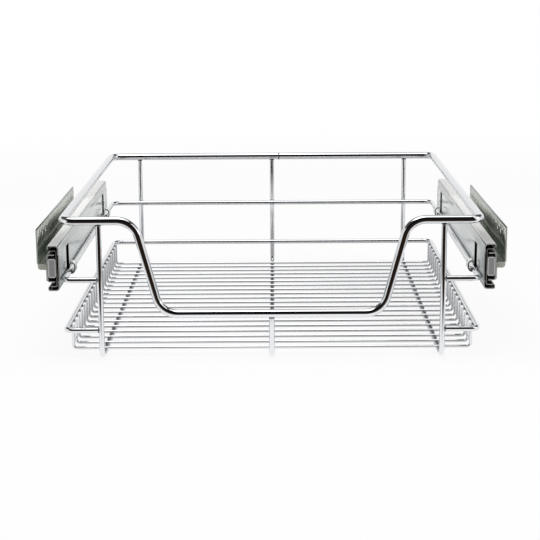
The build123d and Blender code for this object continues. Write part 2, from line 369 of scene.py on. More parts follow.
def finish_mesh(piece, sharp_degrees=35):
    """Merge doubles, close open ends, turn the faces outwards and smooth all but sharp edges."""
    edit(piece)
    bpy.ops.mesh.remove_doubles(threshold=merge_distance)
    bpy.ops.mesh.fill_holes(sides=0)
    bpy.ops.mesh.normals_make_consistent(inside=False)
    hold(piece)
    bpy.ops.object.shade_smooth_by_angle(angle=math.radians(sharp_degrees))
    return piece


def apply(piece, kind, **settings):
    """Add a modifier with these settings and apply it."""
    hold(piece)
    modifier = piece.modifiers.new(kind.lower(), kind)
    for name, setting in settings.items():
        setattr(modifier, name, setting)
    bpy.ops.object.modifier_apply(modifier=modifier.name)


def copy_of(piece, name, shift=(0, 0, 0), mirrored=False):
    """A copy with its own mesh, shifted, or mirrored to the other side of the basket."""
    twin = piece.copy()
    twin.data = piece.data.copy()
    twin.name = name
    twin.data.name = name
    bpy.context.scene.collection.objects.link(twin)
    if mirrored:
        twin.data.transform(Matrix.Scale(-1, 4, (1, 0, 0)))
        twin.data.flip_normals()
    twin.data.transform(Matrix.Translation(shift))
    return twin


def join(pieces, name):
    """Join pieces into one and name it."""
    hold(pieces[0])
    for piece in pieces:
        piece.select_set(True)
    bpy.ops.object.join()
    pieces[0].name = name
    pieces[0].data.name = name
    return pieces[0]


# %% [markdown]
# ## Bent wires
#
# A wire bender pushes straight wire forward and turns it round a pin. The same two moves make
# the mesh: the wire's round section is extruded along each straight run, and spun round the
# middle of each bend. A curve with a bevel would give the same look, but the section here can
# also be a strip, so the same function folds the sheet metal of the runners later.

# %% The bender
bend_steps_per_radian = 7
no_turn = 0.001


def follow(points, bends):
    """In edit mode, drag what is selected along straight runs and round the bends between."""
    points = [Vector(point) for point in points]
    here = points[0]
    for corner, after, bend in zip(points[1:], points[2:], bends):
        arrive = (corner - here).normalized()
        leave = (after - corner).normalized()
        turn_angle = arrive.angle(leave)
        set_back = bend * math.tan(turn_angle / 2)
        start = corner - arrive * set_back
        bpy.ops.mesh.extrude_region_move(TRANSFORM_OT_translate={"value": start - here})
        here = corner + leave * set_back
        if bend > 0 and turn_angle > no_turn:
            inward = (leave - arrive * leave.dot(arrive)).normalized()
            bpy.ops.mesh.spin(
                steps=max(2, round(turn_angle * bend_steps_per_radian)),
                angle=turn_angle,
                center=start + inward * bend,
                axis=leave.cross(arrive),
            )
    bpy.ops.mesh.extrude_region_move(TRANSFORM_OT_translate={"value": points[-1] - here})


def bent_wire(name, points, bends, radius, sides):
    """A round wire along the points, with its ends closed."""
    along = Vector(points[1]) - Vector(points[0])
    let_go()
    bpy.ops.mesh.primitive_circle_add(
        vertices=sides,
        radius=radius,
        location=points[0],
        rotation=along.to_track_quat("Z", "Y").to_euler(),
    )
    wire = freeze(bpy.context.object, name)
    edit(wire)
    follow(points, bends)
    return finish_mesh(wire)


# %% [markdown]
# ### Where the wires lie
#
# A box of the frame ends at the outside of a wire, and a wire is bent along its middle, so its
# radius comes off on every side. The radii are those of common wire: 8.5, 5.5 and 3 mm thick.

# %% Sizes of the wires, read from the frame
rim_radius = 0.00425
wire_radius = 0.00275
cross_radius = 0.0015
rim_low, rim_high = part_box("rim_handle")
_, mid_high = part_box("mid_rail")
_, tray_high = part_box("tray_rail")
side_low, side_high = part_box("longitudinal_right")

rail_x = mid_high.x - wire_radius
rail_back = mid_high.y - wire_radius
tray_x = tray_high.x - wire_radius
front_y = side_low.y + wire_radius
back_y = side_high.y - wire_radius
rim_z = rim_high.z - rim_radius
handle_z = rim_low.z + rim_radius
mid_z = mid_high.z - wire_radius
tray_z = tray_high.z - wire_radius
upright_x = side_high.x - wire_radius
print("rim", round(2 * rail_x, 4), "x", round(back_y - front_y, 4), "at", round(rim_z, 4))

# %% [markdown]
# ### The rim and its handle
#
# The rim is one 8.5 mm wire, bent flat round the back and sides. At the front it dips down and
# becomes the handle. It is a closed ring: its two ends meet in the middle of the back, where
# they are butt-welded.

# %% Rim
rim_sides = 24
corner_bend = 0.011
handle_bend = 0.022
handle_top = 0.1353
handle_bottom = 0.1102

rim = bent_wire(
    "rim_wire",
    [
        (0, back_y, rim_z),
        (rail_x, back_y, rim_z),
        (rail_x, front_y, rim_z),
        (handle_top, front_y, rim_z),
        (handle_bottom, front_y, handle_z),
        (-handle_bottom, front_y, handle_z),
        (-handle_top, front_y, rim_z),
        (-rail_x, front_y, rim_z),
        (-rail_x, back_y, rim_z),
        (0, back_y, rim_z),
    ],
    [corner_bend, corner_bend] + [handle_bend] * 4 + [corner_bend, corner_bend],
    rim_radius,
    rim_sides,
)
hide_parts("rim_handle")
print("rim:", len(rim.data.polygons), "faces")

# %% [markdown]
# ### Rails and longitudinal wires
#
# Two thinner rails run round the back and the sides, one half way up and one at the level of
# the tray. They are butt-welded to the outer front uprights. Three long wires start under the
# rim, run under the tray and end under the rim again at the back. A butted end is sunk a little
# way into the wire that it meets, so that no gap shows between them.

# %% Rails and longitudinal wires
wire_sides = 20
rail_back_bend = 0.010
rail_front_bend = 0.007
long_bend = 0.008
butt_reach = 0.6
rail_end_x = upright_x + wire_radius * butt_reach
bottom_z = wire_radius
under_rim = rim_z - rim_radius * butt_reach
under_handle = handle_z - rim_radius * butt_reach


def side_rail(name, half_width, height):
    """A rail from one front upright round the back to the other."""
    points = [
        (-rail_end_x, front_y, height),
        (-half_width, front_y, height),
        (-half_width, rail_back, height),
        (half_width, rail_back, height),
        (half_width, front_y, height),
        (rail_end_x, front_y, height),
    ]
    bends = [rail_front_bend, rail_back_bend, rail_back_bend, rail_front_bend]
    return bent_wire(name, points, bends, wire_radius, wire_sides)


def long_wire(name, x, front_top):
    """A wire down the front, along the bottom and up the back."""
    points = [
        (x, front_y, front_top),
        (x, front_y, bottom_z),
        (x, back_y, bottom_z),
        (x, back_y, under_rim),
    ]
    return bent_wire(name, points, [long_bend, long_bend], wire_radius, wire_sides)


frame_wires = {
    "mid_rail": side_rail("middle_rail_wire", rail_x, mid_z),
    "tray_rail": side_rail("tray_rail_wire", tray_x, tray_z),
    "longitudinal_left": long_wire("long_wire_left", -upright_x, under_rim),
    "longitudinal_centre": long_wire("long_wire_centre", 0, under_handle),
    "longitudinal_right": long_wire("long_wire_right", upright_x, under_rim),
}
for node, wire in frame_wires.items():
    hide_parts(node)
print("frame wires:", len(frame_wires))

# %% [markdown]
# ### The tray
#
# Twenty 3 mm wires lie across the long wires. Each end turns up and stands against the inside
# of the tray rail. An array modifier could repeat the wire, but the frame gives each one a place
# and a name of its own, so one is bent and the rest are copies set at those places.

# %% Cross wires
cross_sides = 14
cross_bend = 0.0035
cross_nodes = sorted(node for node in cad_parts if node.startswith("cross_wire"))
first_low, first_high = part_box(cross_nodes[0])
cross_z = first_low.z + cross_radius
first_y = (first_low.y + first_high.y) / 2
leg_rise = 0.0012
leg_end_z = tray_z + leg_rise
tray_leg_x = first_high.x - cross_radius

first_cross = bent_wire(
    "tray_cross_wire_01",
    [
        (-tray_leg_x, first_y, leg_end_z),
        (-tray_leg_x, first_y, cross_z),
        (tray_leg_x, first_y, cross_z),
        (tray_leg_x, first_y, leg_end_z),
    ],
    [cross_bend, cross_bend],
    cross_radius,
    cross_sides,
)
cross_wires = {cross_nodes[0]: first_cross}
for node in cross_nodes[1:]:
    low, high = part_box(node)
    shift = (0, (low.y + high.y) / 2 - first_y, 0)
    cross_wires[node] = copy_of(first_cross, "tray_" + node, shift)
for node, wire in cross_wires.items():
    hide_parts(node)
pitch = shift[1] / (len(cross_nodes) - 1)
print("cross wires:", len(cross_wires), "at a pitch of", round(pitch, 4))

# %% [markdown]
# ### Welds
#
# Where two wires cross they are pressed together hot, and a little metal rises round the
# spot. Remeshing the wires into one would melt them together, at the price of their clean
# edge loops. Here one bead is a squashed ball, copied to every crossing.

# %% Weld beads
floor_bead = (0.0021, 0.55)
rail_bead = (0.0019, 0.8)
bead_segments = 8
bead_rings = 6


def bead(radius, squash):
    """A small ball, flattened along Z."""
    let_go()
    bpy.ops.mesh.primitive_uv_sphere_add(
        segments=bead_segments, ring_count=bead_rings, radius=radius
    )
    ball = freeze(bpy.context.object, "bead")
    edit(ball)
    bpy.ops.transform.resize(value=(1, 1, squash))
    hold(ball)
    bpy.ops.object.shade_smooth()
    return ball


def strew(radius, squash, places):
    """Copies of one bead at all the places."""
    one = bead(radius, squash)
    copies = [copy_of(one, "bead_copy", place) for place in places]
    bpy.data.objects.remove(one)
    return copies


floor_places = []
rail_places = []
for node in cross_nodes:
    low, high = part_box(node)
    y = (low.y + high.y) / 2
    floor_places += [(x, y, cross_z - cross_radius) for x in (-upright_x, 0, upright_x)]
    rail_places += [(side * (tray_x - wire_radius), y, tray_z) for side in (-1, 1)]
beads = strew(*floor_bead, floor_places) + strew(*rail_bead, rail_places)
bead_count = len(beads)
print("weld beads:", bead_count)

# %% [markdown]
# ### Collars
#
# Where a wire's end is welded against another wire, the hot metal is pushed out as a ring
# round the joint. A short cylinder, a little wider than the wire and rounded by a bevel, is
# that ring. All welds are then joined into one piece, since they are part of the wires.

# %% Collars at the butt welds
collar_grow = 1.06
rim_collar_grow = 1.05
collar_length = 0.0024
rim_collar_length = 0.0032
crossing_grow = 0.75
crossing_length = 0.003
collar_rounding = 0.45
rim_weld_x = 0.009


def collar(place, along, radius, length):
    """The ring of metal pushed out where a wire's end meets another wire."""
    let_go()
    bpy.ops.mesh.primitive_cylinder_add(
        vertices=wire_sides,
        radius=radius,
        depth=length,
        location=place,
        rotation=Vector(along).to_track_quat("Z", "Y").to_euler(),
    )
    ring = freeze(bpy.context.object, "collar")
    edit(ring)
    bpy.ops.mesh.bevel(offset=length * collar_rounding, segments=3)
    hold(ring)
    bpy.ops.object.shade_smooth()
    return ring


def end_collar(place, along):
    """A collar on the end of a frame wire."""
    return collar(place, along, wire_radius * collar_grow, collar_length)


rim_weld = (rim_weld_x, back_y, rim_z)
beads.append(collar(rim_weld, (1, 0, 0), rim_radius * rim_collar_grow, rim_collar_length))
for side in (-1, 1):
    beads.append(end_collar((side * upright_x, front_y, rim_z - rim_radius), (0, 0, 1)))
    for height in (mid_z, tray_z):
        rail_end = (side * (upright_x + wire_radius), front_y, height)
        beads.append(end_collar(rail_end, (1, 0, 0)))
beads.append(end_collar((0, front_y, handle_z - rim_radius), (0, 0, 1)))
for x in (-upright_x, 0, upright_x):
    beads.append(end_collar((x, back_y, rim_z - rim_radius), (0, 0, 1)))
    for height in (mid_z, tray_z):
        crossing = (x, (back_y + rail_back) / 2, height)
        beads.append(
            collar(crossing, (0, 1, 0), wire_radius * crossing_grow, crossing_length)
        )
collar_count = len(beads) - bead_count
welds = join(beads, "weld_beads")
print("collars:", collar_count)

# %% [markdown]
# ## Runners
#
# Each runner is three channels of bent sheet, one inside the other, with balls between. A
# channel could be cut out of a block, but then its walls and bends would have to be kept even
# by hand. It is folded here as on a press brake: a line as long as the runner is dragged along
# the profile and round its bends, then Solidify gives the sheet its thickness and Bevel breaks
# its cut edges. Only the left side is made; the right one is its mirror image.

# %% Folding sheet metal
edge_break = 0.00018
crease = math.radians(50)


def folded_sheet(name, profile, bends, front, back, thickness, edge=edge_break, extra=None):
    """A sheet folded along (x, z) points and cut from y = front to y = back."""
    let_go()
    start = profile[0]
    bpy.ops.mesh.primitive_plane_add(size=back - front)
    strip = freeze(bpy.context.object, name)
    edit(strip)
    pick("VERT", lambda middle, item: middle.x > 0)
    bpy.ops.mesh.delete(type="VERT")
    bpy.ops.mesh.select_all(action="SELECT")
    half = (back - front) / 2
    bpy.ops.transform.translate(value=(start[0] + half, (front + back) / 2, start[1]))
    follow([(x, 0, z) for x, z in profile], bends)
    if extra:
        extra()
    bpy.ops.mesh.select_all(action="SELECT")
    bpy.ops.mesh.remove_doubles(threshold=merge_distance)
    bpy.ops.mesh.normals_make_consistent(inside=False)
    apply(strip, "SOLIDIFY", thickness=thickness, offset=0, use_even_offset=True)
    apply(strip, "BEVEL", width=edge, segments=2, limit_method="ANGLE", angle_limit=crease)
    return finish_mesh(strip)


# %% [markdown]
# Holes are punched, as in the real sheet, after the folding: a round or a slotted punch is set
# at each place, all are joined, and one Boolean takes them out. Deleting faces and bridging
# their edges would give the same hole with more steps for each.

# %% Punches
punch_depth = 0.008
punch_sides = 20
slot_rounding = 0.49


def cut(piece, cutters):
    """Cut the cutters out of the piece, and remove them."""
    tool = join(cutters, "cutter")
    apply(piece, "BOOLEAN", operation="DIFFERENCE", object=tool, solver="EXACT")
    bpy.data.objects.remove(tool)


def round_cutter(x, y, z, diameter):
    """A round punch through a plate that stands across X."""
    let_go()
    bpy.ops.mesh.primitive_cylinder_add(
        vertices=punch_sides,
        radius=diameter / 2,
        depth=punch_depth,
        location=(x, y, z),
        rotation=(0, math.pi / 2, 0),
    )
    return freeze(bpy.context.object, "punch")


def slot_cutter(x, y, z, width, height, corner=None):
    """A slot as wide along Y and as high as said, with round ends or with small corners."""
    let_go()
    bpy.ops.mesh.primitive_cube_add(
        size=1, location=(x, y, z), scale=(punch_depth, width, height)
    )
    block = freeze(bpy.context.object, "punch")
    edit(block)
    pick("EDGE", lambda middle, item: abs(middle.x - x) < touch)
    bpy.ops.mesh.bevel(offset=corner or min(width, height) * slot_rounding, segments=5)
    let_go()
    return block


# %% [markdown]
# ### Where the runner lies
#
# Its ends and its middle height come from its box. Its web stands just outside the basket's
# rails, so that face is worked out from the rails. The thickness is that of the usual sheet,
# and a little less for the middle member, which has to fit inside the first.

# %% Sizes of the left runner, read from the frame
sheet_thick = 0.0012
middle_thick = 0.0011
rail_clearance = 0.00025
member_low, member_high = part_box("runner_basket_member_left")
runner_front, runner_back = member_low.y, member_high.y
runner_z = (member_low.z + member_high.z) / 2
web_face = -(rail_x + wire_radius + rail_clearance)
print("runner:", round(runner_back - runner_front, 4), "long, web at", round(web_face, 4))

# %% [markdown]
# ### The member on the basket's side
#
# It is the largest of the three. Its web has a shallow step near the top and the bottom, where
# the races of the balls lie, and its flanges end in short lips. Two windows are punched in the
# web. The profile is written for the upper half and turned over for the lower one, so that the
# two halves can't differ.

# %% Basket-side member
race_step = 0.0005
race_width = 0.0085
race_slope = 0.0012
lip_length = 0.0032
lip_bend = 0.0013
web_bend = 0.003
race_bend = 0.0008
web_mid_x = web_face - sheet_thick / 2
lip_mid_x = member_low.x + sheet_thick / 2
half_high = member_high.z - sheet_thick / 2 - runner_z

profile = []
for sign in (1, -1):
    half_profile = [
        (lip_mid_x, runner_z + sign * (half_high - lip_length)),
        (lip_mid_x, runner_z + sign * half_high),
        (web_mid_x - race_step, runner_z + sign * half_high),
        (web_mid_x - race_step, runner_z + sign * (half_high - race_width)),
        (web_mid_x, runner_z + sign * (half_high - race_width - race_slope)),
    ]
    profile += half_profile if sign > 0 else half_profile[::-1]
profile_bends = [lip_bend, web_bend] + [race_bend] * 4 + [web_bend, lip_bend]
basket_member = folded_sheet(
    "runner_channel_left", profile, profile_bends, runner_front, runner_back, sheet_thick
)

window_width = 0.018
window_corner = 0.0012
window_rise = 0.0255
window_drop = 0.0018
window_top = mid_z + window_rise
window_bottom = mid_z - wire_radius - window_drop
front_hook_inset = 0.055
back_hook_inset = 0.044
hook_ys = [runner_front + front_hook_inset, runner_back - back_hook_inset]
window_middle = (window_top + window_bottom) / 2
window_height = window_top - window_bottom
windows = [
    slot_cutter(web_mid_x, y, window_middle, window_width, window_height, window_corner)
    for y in hook_ys
]
cut(basket_member, windows)
print("member:", len(basket_member.data.polygons), "faces")

# %% [markdown]
# From the lower edge of each window a tab curls out under the middle rail and over it: the
# basket hangs on these four tabs. A tab is a narrow strip folded by the same function as the
# channels. While it is still a thin sheet its free end is drawn in, so that it becomes a half
# moon with an even thickness.

# %% Hooks
hook_width = 0.014
hook_reach = 0.0084
hook_rise = 0.0074
hook_return = 0.0043
hook_root = 0.0024
hook_gap = 0.0001
hook_bends = [0.0012, 0.0038, 0.0038]
tip_share = 0.55
shoulder_share = 0.86
shoulder_rise = 0.0018
past_tip = 0.0003
seat_z = mid_z - wire_radius - hook_gap - sheet_thick / 2
bulge_x = web_face + hook_reach - sheet_thick / 2
tip_x = bulge_x - hook_return
tip_z = mid_z + hook_rise
hook_profile = [
    (web_mid_x, seat_z - hook_root),
    (web_mid_x, seat_z),
    (bulge_x, seat_z),
    (bulge_x, tip_z),
    (tip_x, tip_z),
]


def round_the_tab():
    """Draw in the tab's free end and, less, the bend before it."""
    pick("VERT", lambda middle, item: abs(middle.x - tip_x) < touch and middle.z > mid_z)
    bpy.ops.transform.resize(value=(1, tip_share, 1))
    shoulder_z = mid_z + shoulder_rise
    pick("VERT", lambda middle, item: middle.z > shoulder_z and middle.x > tip_x + past_tip)
    bpy.ops.transform.resize(value=(1, shoulder_share, 1))


hooks = []
for y in hook_ys:
    front, back = y - hook_width / 2, y + hook_width / 2
    hooks.append(
        folded_sheet(
            "hook", hook_profile, hook_bends, front, back, sheet_thick, extra=round_the_tab
        )
    )
basket_member = join([basket_member] + hooks, "runner_channel_left")
finish_mesh(basket_member)
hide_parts("runner_basket_member_left")
print("hooks:", len(hooks), "on the left member")

# %% [markdown]
# ### The two inner members
#
# The middle member opens outwards and the fixed member opens inwards, so that their flanges
# hold the balls between them. Both are plain channels, and each fits the box of its node: one
# function folds them, told on which side the web stands.

# %% Middle and fixed members
channel_bend = 0.0018


def plain_channel(name, node, thickness, web_inwards):
    """A channel with a flat web and two flanges that fills the box of its node."""
    low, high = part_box(node)
    web_x = high.x - thickness / 2 if web_inwards else low.x + thickness / 2
    flange_tip = low.x if web_inwards else high.x
    half = high.z - thickness / 2 - runner_z
    channel_profile = [
        (flange_tip, runner_z + half),
        (web_x, runner_z + half),
        (web_x, runner_z - half),
        (flange_tip, runner_z - half),
    ]
    bends = [channel_bend, channel_bend]
    return folded_sheet(name, channel_profile, bends, runner_front, runner_back, thickness)


middle_member = plain_channel(
    "middle_channel_left", "runner_middle_member_left", middle_thick, web_inwards=True
)
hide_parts("runner_middle_member_left")
fixed_member = plain_channel(
    "fixed_channel_left", "runner_fixed_member_left", sheet_thick, web_inwards=False
)
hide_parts("runner_fixed_member_left")
print("faces:", len(middle_member.data.polygons), "and", len(fixed_member.data.polygons))

# %% [markdown]
# ### Balls
#
# The balls sit where the frame has them, in the pockets of their cages; the thin cages are
# right as they are and only get a finish. A ball is one of the few things that a primitive
# gives whole, so one sphere is turned with its poles into the row's direction and copied.

# %% Balls
balls_in_row = 4
ball_segments = 16
ball_rings = 10


def ball_row(node, name):
    """Round balls at the middles of the frame's balls."""
    low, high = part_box(node)
    ball_radius = (high.x - low.x) / 2
    pitch = (high.y - low.y - 2 * ball_radius) / (balls_in_row - 1)
    let_go()
    bpy.ops.mesh.primitive_uv_sphere_add(
        segments=ball_segments, ring_count=ball_rings, radius=ball_radius
    )
    one = freeze(bpy.context.object, "ball")
    edit(one)
    bpy.ops.transform.rotate(value=math.pi / 2, orient_axis="Y", center_override=(0, 0, 0))
    hold(one)
    bpy.ops.object.shade_smooth()
    row = []
    for number in range(balls_in_row):
        for z in (low.z + ball_radius, high.z - ball_radius):
            y = low.y + ball_radius + number * pitch
            row.append(copy_of(one, "ball_copy", ((low.x + high.x) / 2, y, z)))
    bpy.data.objects.remove(one)
    row = join(row, name)
    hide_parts(node)
    return row


outer_balls = ball_row("outer_balls_left", "outer_ball_row_left")
inner_balls = ball_row("inner_balls_left", "inner_ball_row_left")
print("balls:", len(outer_balls.data.polygons), "faces a row")

# %% [markdown]
# ### Bumper
#
# A moulded block of grey plastic stops the fixed member's mouth, with a raised border round a
# sunk face. It starts as a cube in the node's box: its long edges are rounded, two insets on
# the front face make the border and the sunk field, and a small bevel softens what is sharp.

# %% Bumper
bumper_corner = 0.0019
bumper_border = 0.0009
bumper_draft = 0.0003
bumper_sink = 0.0006
bumper_edge = 0.0002
bumper_low, bumper_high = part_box("bumper_left")
bumper_middle = (bumper_low + bumper_high) / 2
let_go()
bpy.ops.mesh.primitive_cube_add(
    size=1, location=bumper_middle, scale=bumper_high - bumper_low
)
bumper = freeze(bpy.context.object, "bumper_block_left")
edit(bumper)
pick("EDGE", lambda middle, item: abs(middle.y - bumper_middle.y) < touch)
bpy.ops.mesh.bevel(offset=bumper_corner, segments=5)
pick("FACE", lambda middle, item: middle.y < bumper_low.y + touch)
bpy.ops.mesh.inset(thickness=bumper_border, depth=0)
bpy.ops.mesh.inset(thickness=bumper_draft, depth=-bumper_sink)
apply(
    bumper,
    "BEVEL",
    width=bumper_edge,
    segments=2,
    limit_method="ANGLE",
    angle_limit=math.radians(40),
)
finish_mesh(bumper)
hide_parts("bumper_left")
print("bumper:", len(bumper.data.polygons), "faces")

# %% [markdown]
# ## Cabinet brackets
#
# A Z of bright sheet: an upright plate for the cabinet's side, a flange that spans the gap, and
# a short leg riveted to the fixed member. It is folded and punched like the channels. The plate
# has screw holes and slots near both ends. A lip with one round corner closes the front of the
# flange; it is a small plate of its own, set a hair in front of the fold so that no two faces
# lie in the same place.

# %% Bracket
bracket_thick = 0.0015
bracket_bend = 0.002
bracket_edge = 0.0002
plate_low, plate_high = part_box("cabinet_bracket_left")
bracket_front, bracket_back = plate_low.y, plate_high.y
plate_x = plate_low.x + bracket_thick / 2
plate_top = plate_high.z
leg_x = plate_high.x - bracket_thick / 2
leg_bottom = plate_low.z
flange_above_leg = 0.0155
flange_z = leg_bottom + flange_above_leg
flange_middle = flange_z + bracket_thick / 2

bracket = folded_sheet(
    "bracket_left",
    [(plate_x, plate_top), (plate_x, flange_middle), (leg_x, flange_middle), (leg_x, leg_bottom)],
    [bracket_bend, bracket_bend],
    bracket_front,
    bracket_back,
    bracket_thick,
    edge=bracket_edge,
)


def from_both_ends(insets):
    """Places at the same distances from the bracket's front and back ends."""
    return [bracket_front + inset for inset in insets] + [bracket_back - inset for inset in insets]


upper_hole_drop = 0.0055
lower_hole_drop = 0.010
upper_z = plate_top - upper_hole_drop
lower_z = plate_top - lower_hole_drop
small_hole = 0.0044
screw_hole = 0.005
slot_size = (0.0034, 0.0075)
upper_hole_insets = [0.0225, 0.041, 0.062]
lower_hole_inset = 0.051
screw_hole_inset = 0.032
end_slot_inset = 0.010
odd_slot_inset = 0.049

punches = [round_cutter(plate_x, y, upper_z, small_hole) for y in from_both_ends(upper_hole_insets)]
punches += [round_cutter(plate_x, y, lower_z, small_hole) for y in from_both_ends([lower_hole_inset])]
punches += [round_cutter(plate_x, y, lower_z, screw_hole) for y in from_both_ends([screw_hole_inset])]
punches += [slot_cutter(plate_x, y, upper_z, *slot_size) for y in from_both_ends([end_slot_inset])]
punches.append(
    slot_cutter(plate_x, bracket_back - odd_slot_inset, lower_z - slot_size[1], *slot_size)
)
cut(bracket, punches)
print("bracket:", len(punches), "punches")

# %% Lip on the bracket
lip_drop = 0.005
lip_corner = 0.003
lip_proud = 0.00005
lip_inset = 0.0009
lip_low = flange_middle - lip_drop
lip_outer = plate_low.x + lip_inset
lip_y = bracket_front + bracket_thick / 2 - lip_proud
let_go()
bpy.ops.mesh.primitive_cube_add(
    size=1,
    location=((leg_x + lip_outer) / 2, lip_y, (flange_middle + lip_low) / 2),
    scale=(leg_x - lip_outer, bracket_thick, lip_drop),
)
lip = freeze(bpy.context.object, "lip")
edit(lip)
pick("EDGE", lambda middle, item: middle.x < lip_outer + touch and middle.z < lip_low + touch)
bpy.ops.mesh.bevel(offset=lip_corner, segments=6)
apply(lip, "BEVEL", width=bracket_edge, segments=2, limit_method="ANGLE", angle_limit=crease)
bracket = join([bracket, lip], "bracket_left")
finish_mesh(bracket, sharp_degrees=40)
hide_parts("cabinet_bracket_left")
print("bracket:", len(bracket.data.polygons), "faces with its lip")

# %% [markdown]
# ### Rivets
#
# Three rivets hold the bracket's leg to the fixed member: a shank with a domed head. A lathe
# profile would do, but a cylinder whose outer face is bevelled in four steps is as round at
# this size, and quicker.

# %% Rivets
rivet_inset = 0.028
rivet_sides = 24
head_dome = 0.0011
rivet_low, rivet_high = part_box("rivets_left")
rivet_middle = (rivet_low + rivet_high) / 2
rivet_ys = from_both_ends([rivet_inset]) + [(bracket_front + bracket_back) / 2]
let_go()
bpy.ops.mesh.primitive_cylinder_add(
    vertices=rivet_sides,
    radius=(rivet_high.z - rivet_low.z) / 2,
    depth=rivet_high.x - rivet_low.x,
    location=(rivet_middle.x, 0, rivet_middle.z),
    rotation=(0, math.pi / 2, 0),
)
rivet = freeze(bpy.context.object, "rivet")
edit(rivet)
pick("FACE", lambda middle, item: middle.x < rivet_low.x + touch)
bpy.ops.mesh.bevel(offset=head_dome, segments=4)
hold(rivet)
bpy.ops.object.shade_smooth_by_angle(angle=math.radians(40))
rivet_row = [copy_of(rivet, "rivet_copy", (0, y, 0)) for y in rivet_ys]
bpy.data.objects.remove(rivet)
rivets = join(rivet_row, "rivet_row_left")
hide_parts("rivets_left")
print("rivets:", len(rivet_ys), "a side")

# %% [markdown]
# ## The right side
#
# The right runner is the mirror image of the left. A mirror modifier would leave both sides in
# one piece, and each side needs a piece and a body of its own, so copies are mirrored. A
# mirrored mesh is inside out, so the copy's faces are flipped as it is made.

# %% Mirror the left side
left_pieces = {
    "runner_channel": (basket_member, "runner_basket_member", "basket", "zinc_runner"),
    "middle_channel": (middle_member, "runner_middle_member", "middle_member", "zinc_runner"),
    "fixed_channel": (fixed_member, "runner_fixed_member", "cabinet_side", "zinc_runner"),
    "outer_ball_row": (outer_balls, "outer_balls", "outer_cage", "ball_steel"),
    "inner_ball_row": (inner_balls, "inner_balls", "inner_cage", "ball_steel"),
    "bumper_block": (bumper, "bumper", "cabinet_side", "grey_bumper"),
    "bracket": (bracket, "cabinet_bracket", "cabinet_side", "zinc_bracket"),
    "rivet_row": (rivets, "rivets", "cabinet_side", "zinc_bracket"),
}
one_sided = ("middle_member", "outer_cage", "inner_cage")
runner_pieces = []
for name, (piece, node, body, slot) in left_pieces.items():
    twin = copy_of(piece, name + "_right", mirrored=True)
    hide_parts(node + "_right")
    for half, hand in ((piece, "left"), (twin, "right")):
        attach(half, f"{body}_{hand}" if body in one_sided else body)
        runner_pieces.append((half, name))
print("runner pieces:", len(runner_pieces))

# %% [markdown]
# The wires are welded into one stiff basket, so they all ride on the same body. Parenting them
# to an empty would do that in a scene of its own; here the frame has the body already.

# %% Let the wires ride on the basket
wires = [rim, welds, *frame_wires.values(), *cross_wires.values()]
for wire in wires:
    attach(wire, "basket")
print("pieces of wire:", len(wires))

# %% [markdown]
# ## Finishes
#
# Everything here is plated or polished metal, apart from the bumpers. Plating is never quite
# even: its gloss drifts, it keeps the fine lines of the metal under it, and it dulls where the
# grease of the balls has run, which is also where painted shade darkens it. Each finish says how
# bright the metal is, and then lets a few slow and fine patterns move its colour, roughness and
# surface. All patterns lie on Object coordinates, so they are sized in real lengths and stay
# where they are when a piece moves.

# %% What the finishes share
square_on = (0.6, 0.9)


def new_finish(name):
    """A material with a Principled shader. Returns its tree, its shader node and itself."""
    finish = bpy.data.materials.new(name)
    tree = new_tree(finish)
    surface = tree.node("ShaderNodeBsdfPrincipled")
    tree.node("ShaderNodeOutputMaterial", {}, {"Surface": surface})
    return tree, surface.socket.node, finish


def feed(tree, shader, **values):
    """Link or set the shader's sockets; an underscore stands for a space."""
    for name, value in values.items():
        socket = shader.inputs[name.replace("_", " ")]
        if isinstance(value, Value):
            tree.tree.links.new(value.socket, socket)
        else:
            socket.default_value = value


def position(tree, stretch=(1, 1, 1)):
    """Object coordinates, stretched."""
    place = tree.node("ShaderNodeTexCoord", output="Object")
    return tree.node("ShaderNodeMapping", {}, {"Vector": place, "Scale": stretch})


def facing(tree):
    """How far the surface faces along X, Y and Z, each from -1 to 1."""
    return tree.node("ShaderNodeNewGeometry", output="Normal").parts()


def noise(tree, where, scale, detail=2.0):
    """A noise pattern between 0 and 1."""
    return tree.node(
        "ShaderNodeTexNoise", {}, {"Vector": where, "Scale": scale, "Detail": detail}
    )


def bump(tree, height, depth, strength):
    """A surface raised by height times depth, in metres."""
    return tree.node(
        "ShaderNodeBump", {}, {"Height": height, "Distance": depth, "Strength": strength}
    )


def dress(piece, finish):
    """Give a piece one finish in place of what it had."""
    piece.data.materials.clear()
    piece.data.materials.append(finish)


# %% [markdown]
# ### Chrome
#
# The wires are plated bright, and nearly all of their look is the room. The colour stays well
# under white, as chrome does beside silver, and its gloss drifts over a few centimetres. Pits
# of a hundredth of a millimetre break the reflections up a little, as in the photograph.

# %% Chrome on the wires
pit_depth = 0.00002

tree, shader, chrome = new_finish("bright_chrome")
drift = noise(tree, position(tree), 28.0)
pits = noise(tree, position(tree), 900.0)
feed(
    tree,
    shader,
    Base_Color=drift.mix((0.60, 0.61, 0.63), (0.66, 0.665, 0.68)),
    Metallic=1.0,
    Roughness=0.035 + 0.05 * drift,
    Normal=bump(tree, pits, pit_depth, 0.4),
)
for wire in wires:
    dress(wire, chrome)
print("chrome:", len(chrome.node_tree.nodes), "shader nodes on", len(wires), "pieces")

# %% [markdown]
# The welds are painted dark and blotchy: painted shade and dark reflection where the wires
# cross and meet, so that the welds read as dark dots along the tray.

# %% Chrome with painted shade on the welds
tree, shader, shaded_weld_chrome = new_finish("shaded_weld_chrome")
weld_shade = noise(tree, position(tree), 700.0)
# The weld colour is dark: painted shade and dark reflection at the welds.
feed(
    tree,
    shader,
    Base_Color=weld_shade.mix((0.09, 0.09, 0.095), (0.40, 0.40, 0.41)),
    Metallic=1.0,
    Roughness=0.12 + 0.15 * weld_shade,
)
dress(welds, shaded_weld_chrome)
print("shaded chrome:", len(shaded_weld_chrome.node_tree.nodes), "shader nodes")
